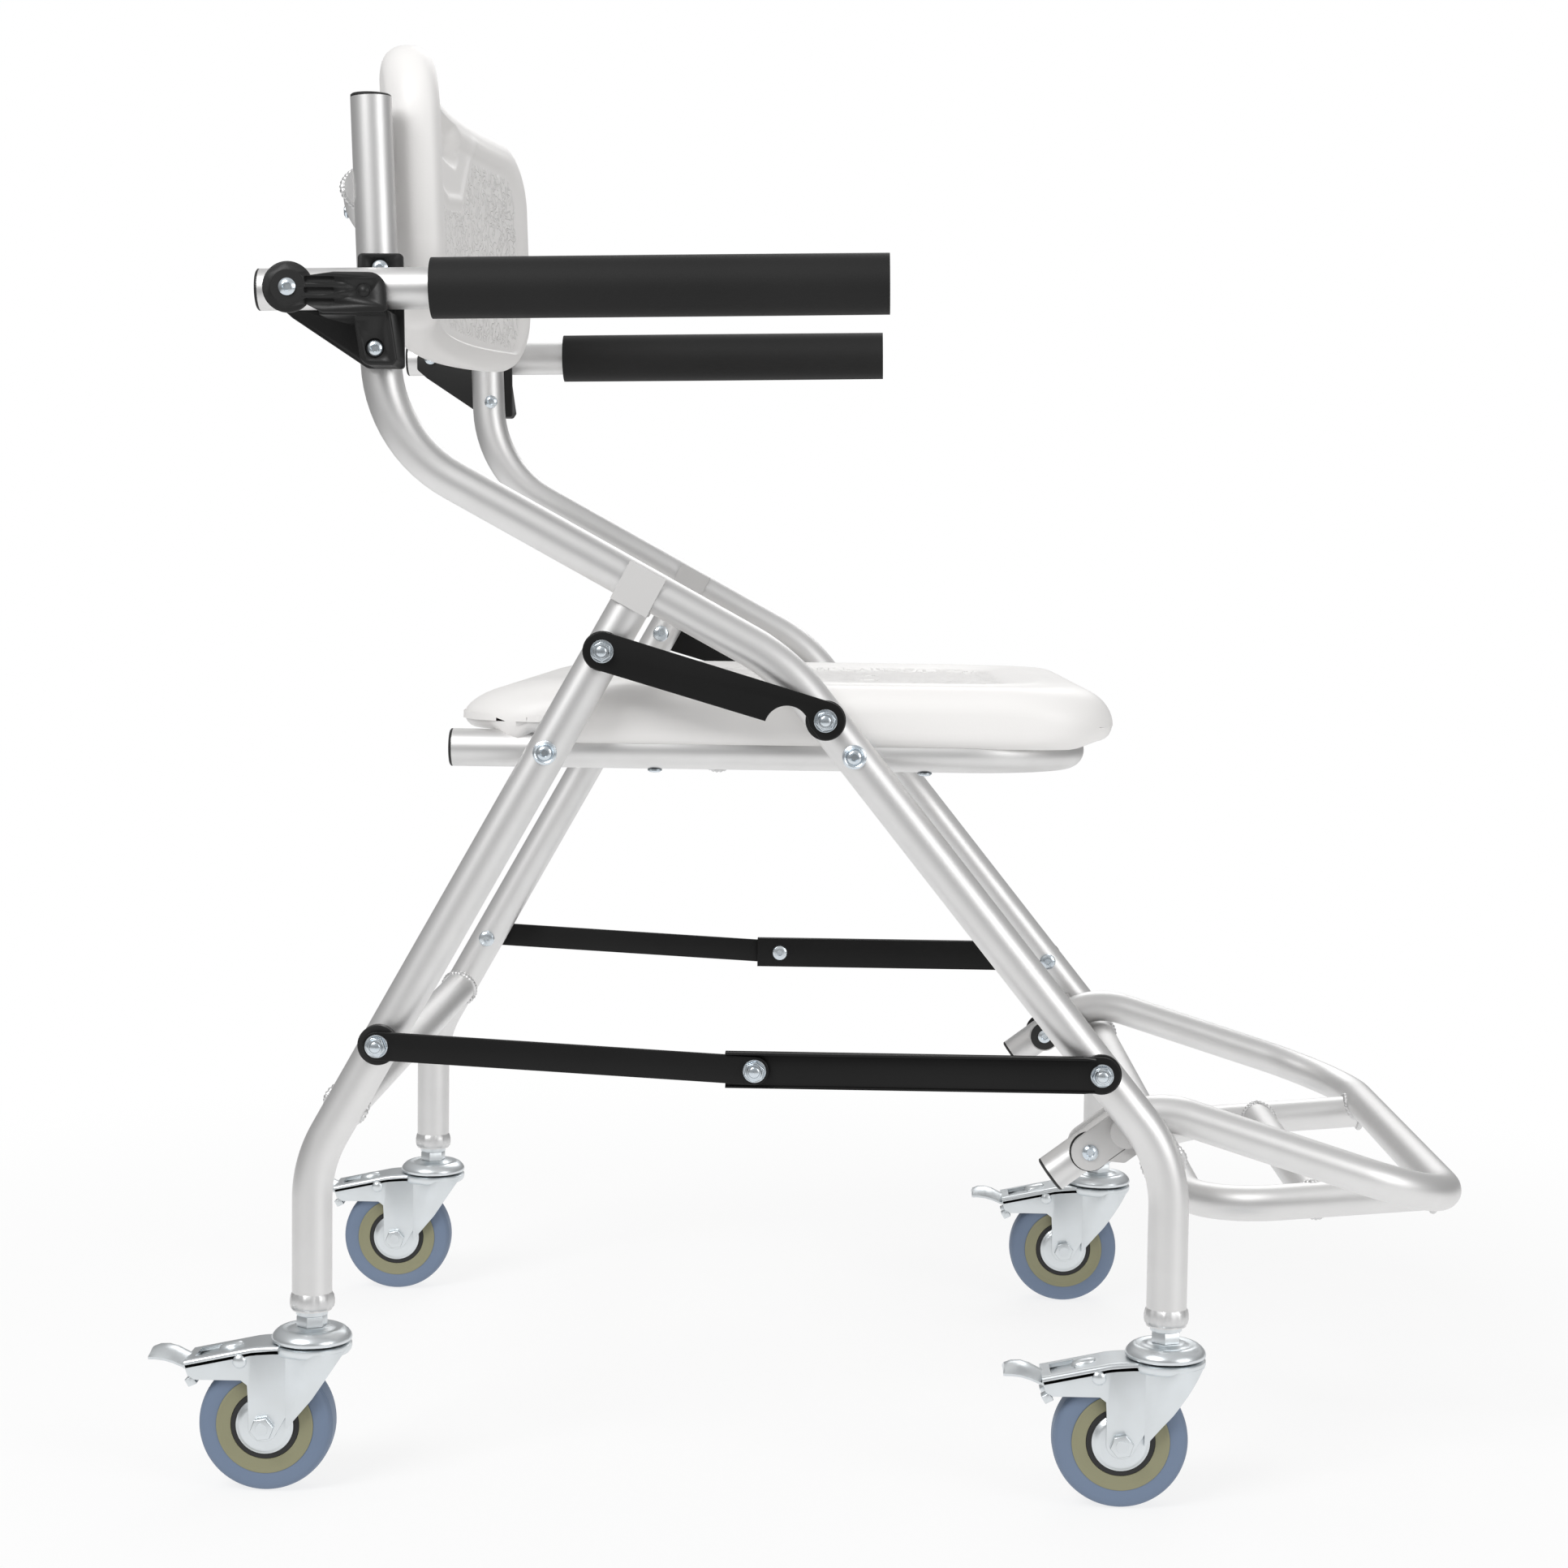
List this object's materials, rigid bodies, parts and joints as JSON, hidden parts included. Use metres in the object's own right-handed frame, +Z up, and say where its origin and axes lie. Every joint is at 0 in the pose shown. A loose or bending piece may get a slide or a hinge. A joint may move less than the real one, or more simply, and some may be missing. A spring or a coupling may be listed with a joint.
{
  "type": "transport wheelchair",
  "caption": "Folding transport and shower chair: bent tube frame on swivel casters with foot brakes, moulded seat and curved backrest, flip-up padded arms and flip-up tube footrest.",
  "frame": {"origin": "on the floor under the middle of the chair's bounding box", "axes": "+X forward, +Y to the sitter's left, +Z up"},
  "size_m": [0.7374, 0.5494, 0.8019],
  "materials": {
    "satin_aluminium": "satin anodised tube",
    "moulded_plastic": "warm off-white, fine grain",
    "foam_sleeve": "matt closed-cell foam",
    "black_steel": "satin black powder coat",
    "zinc_steel": "bright zinc plate",
    "black_nylon": "satin black moulded nylon",
    "grey_nylon": "light grey moulded nylon",
    "tyre_rubber": "blue-grey smooth tread",
    "wheel_plastic": "olive moulded core"
  },
  "bodies": {
    "rear_frame": {"rear_leg_right": "satin_aluminium", "rear_leg_left": "satin_aluminium", "rear_leg_crossbar": "satin_aluminium", "leg_saddles": "grey_nylon", "rear_leg_hardware": "zinc_steel"},
    "seat": {"seat_frame_tube": "satin_aluminium", "seat_crossbar": "satin_aluminium", "seat_tube_caps": "black_nylon", "seat_panel": "moulded_plastic", "seat_bolts": "zinc_steel"},
    "front_frame": {"side_tube_right": "satin_aluminium", "side_tube_left": "satin_aluminium", "front_leg_crossbar": "satin_aluminium", "front_caster_stems": "zinc_steel", "back_crossbar": "satin_aluminium", "backrest_panel": "moulded_plastic", "back_tube_caps": "black_nylon", "arm_bracket_right": "black_nylon", "arm_bracket_left": "black_nylon", "frame_bolts": "zinc_steel", "footrest_clevises": "grey_nylon"},
    "upper_links": {"upper_link_right": "black_steel", "upper_link_left": "black_steel", "upper_link_bolts": "zinc_steel"},
    "front_braces": {"front_brace_right": "black_steel", "front_brace_left": "black_steel", "front_brace_bolts": "zinc_steel"},
    "rear_braces": {"rear_brace_right": "black_steel", "rear_brace_left": "black_steel", "rear_brace_bolts": "zinc_steel"},
    "armrest_right": {"arm_tube_right": "satin_aluminium", "arm_pad_right": "foam_sleeve", "arm_caps_right": "black_nylon"},
    "armrest_left": {"arm_tube_left": "satin_aluminium", "arm_pad_left": "foam_sleeve", "arm_caps_left": "black_nylon"},
    "footrest": {"footrest_loop": "satin_aluminium", "footrest_heel_loop": "satin_aluminium", "footrest_cross_tube": "satin_aluminium", "footrest_caps": "black_nylon"},
    "caster_fork_rear_right": {"fork_rear_right": "zinc_steel", "axle_rear_right": "zinc_steel"},
    "wheel_rear_right": {"tyre_rear_right": "tyre_rubber", "wheel_core_rear_right": "wheel_plastic"},
    "pedal_rear_right": {"brake_pedal_rear_right": "zinc_steel"},
    "caster_fork_rear_left": {"fork_rear_left": "zinc_steel", "axle_rear_left": "zinc_steel"},
    "wheel_rear_left": {"tyre_rear_left": "tyre_rubber", "wheel_core_rear_left": "wheel_plastic"},
    "pedal_rear_left": {"brake_pedal_rear_left": "zinc_steel"},
    "caster_fork_front_right": {"fork_front_right": "zinc_steel", "axle_front_right": "zinc_steel"},
    "wheel_front_right": {"tyre_front_right": "tyre_rubber", "wheel_core_front_right": "wheel_plastic"},
    "pedal_front_right": {"brake_pedal_front_right": "zinc_steel"},
    "caster_fork_front_left": {"fork_front_left": "zinc_steel", "axle_front_left": "zinc_steel"},
    "wheel_front_left": {"tyre_front_left": "tyre_rubber", "wheel_core_front_left": "wheel_plastic"},
    "pedal_front_left": {"brake_pedal_front_left": "zinc_steel"}
  },
  "joints": [
    {"name": "seat_fold", "type": "hinge", "parent": "rear_frame", "child": "seat", "pos_m": [-0.1521, 0, 0.4128], "axis": [0, -1, 0], "range_deg": [0, 45.4]},
    {"name": "frame_fold", "type": "hinge", "parent": "seat", "child": "front_frame", "pos_m": [0.016, 0, 0.4128], "axis": [0, 1, 0], "range_deg": [0, 90]},
    {"name": "upper_link_fold", "type": "hinge", "parent": "front_frame", "child": "upper_links", "pos_m": [0.0002, 0, 0.4325], "axis": [0, -1, 0], "range_deg": [0, 106]},
    {"name": "front_brace_fold", "type": "hinge", "parent": "front_frame", "child": "front_braces", "pos_m": [0.1528, 0, 0.242], "axis": [0, 1, 0], "range_deg": [0, 1.7]},
    {"name": "rear_brace_fold", "type": "hinge", "parent": "front_braces", "child": "rear_braces", "pos_m": [-0.0358, 0, 0.242], "axis": [0, -1, 0], "range_deg": [0, 123.8]},
    {"name": "armrest_right_lift", "type": "hinge", "parent": "front_frame", "child": "armrest_right", "pos_m": [-0.2864, -0.2572, 0.6591], "axis": [0, -1, 0], "range_deg": [0, 95]},
    {"name": "armrest_left_lift", "type": "hinge", "parent": "front_frame", "child": "armrest_left", "pos_m": [-0.2864, 0.2572, 0.6591], "axis": [0, -1, 0], "range_deg": [0, 95]},
    {"name": "footrest_lift", "type": "hinge", "parent": "front_frame", "child": "footrest", "pos_m": [0.1495, 0, 0.1941], "axis": [0, -1, 0], "range_deg": [0, 90]},
    {"name": "swivel_rear_right", "type": "hinge", "parent": "rear_frame", "child": "caster_fork_rear_right", "pos_m": [-0.2808, -0.2295, 0.08], "axis": [0, 0, 1], "continuous": true},
    {"name": "wheel_spin_rear_right", "type": "hinge", "parent": "caster_fork_rear_right", "child": "wheel_rear_right", "pos_m": [-0.3053, -0.2295, 0.0375], "axis": [0, 1, 0], "continuous": true},
    {"name": "brake_rear_right", "type": "hinge", "parent": "caster_fork_rear_right", "child": "pedal_rear_right", "pos_m": [-0.3182, -0.2295, 0.0744], "axis": [0, -1, 0], "range_deg": [0, 12]},
    {"name": "swivel_rear_left", "type": "hinge", "parent": "rear_frame", "child": "caster_fork_rear_left", "pos_m": [-0.2808, 0.2295, 0.08], "axis": [0, 0, 1], "continuous": true},
    {"name": "wheel_spin_rear_left", "type": "hinge", "parent": "caster_fork_rear_left", "child": "wheel_rear_left", "pos_m": [-0.3053, 0.2295, 0.0375], "axis": [0, 1, 0], "continuous": true},
    {"name": "brake_rear_left", "type": "hinge", "parent": "caster_fork_rear_left", "child": "pedal_rear_left", "pos_m": [-0.3182, 0.2295, 0.0744], "axis": [0, -1, 0], "range_deg": [0, 12]},
    {"name": "swivel_front_right", "type": "hinge", "parent": "front_frame", "child": "caster_fork_front_right", "pos_m": [0.1922, -0.2295, 0.08], "axis": [0, 0, 1], "continuous": true},
    {"name": "wheel_spin_front_right", "type": "hinge", "parent": "caster_fork_front_right", "child": "wheel_front_right", "pos_m": [0.1677, -0.2295, 0.0375], "axis": [0, 1, 0], "continuous": true},
    {"name": "brake_front_right", "type": "hinge", "parent": "caster_fork_front_right", "child": "pedal_front_right", "pos_m": [0.1548, -0.2295, 0.0744], "axis": [0, -1, 0], "range_deg": [0, 12]},
    {"name": "swivel_front_left", "type": "hinge", "parent": "front_frame", "child": "caster_fork_front_left", "pos_m": [0.1922, 0.2295, 0.08], "axis": [0, 0, 1], "continuous": true},
    {"name": "wheel_spin_front_left", "type": "hinge", "parent": "caster_fork_front_left", "child": "wheel_front_left", "pos_m": [0.1677, 0.2295, 0.0375], "axis": [0, 1, 0], "continuous": true},
    {"name": "brake_front_left", "type": "hinge", "parent": "caster_fork_front_left", "child": "pedal_front_left", "pos_m": [0.1548, 0.2295, 0.0744], "axis": [0, -1, 0], "range_deg": [0, 12]}
  ],
  "couplings": [
    {"joint": "seat_fold", "follows": "frame_fold", "ratio": 0.5035},
    {"joint": "upper_link_fold", "follows": "frame_fold", "ratio": 1.1773},
    {"joint": "front_brace_fold", "follows": "frame_fold", "ratio": 0.0179},
    {"joint": "rear_brace_fold", "follows": "frame_fold", "ratio": 1.3743}
  ]
}
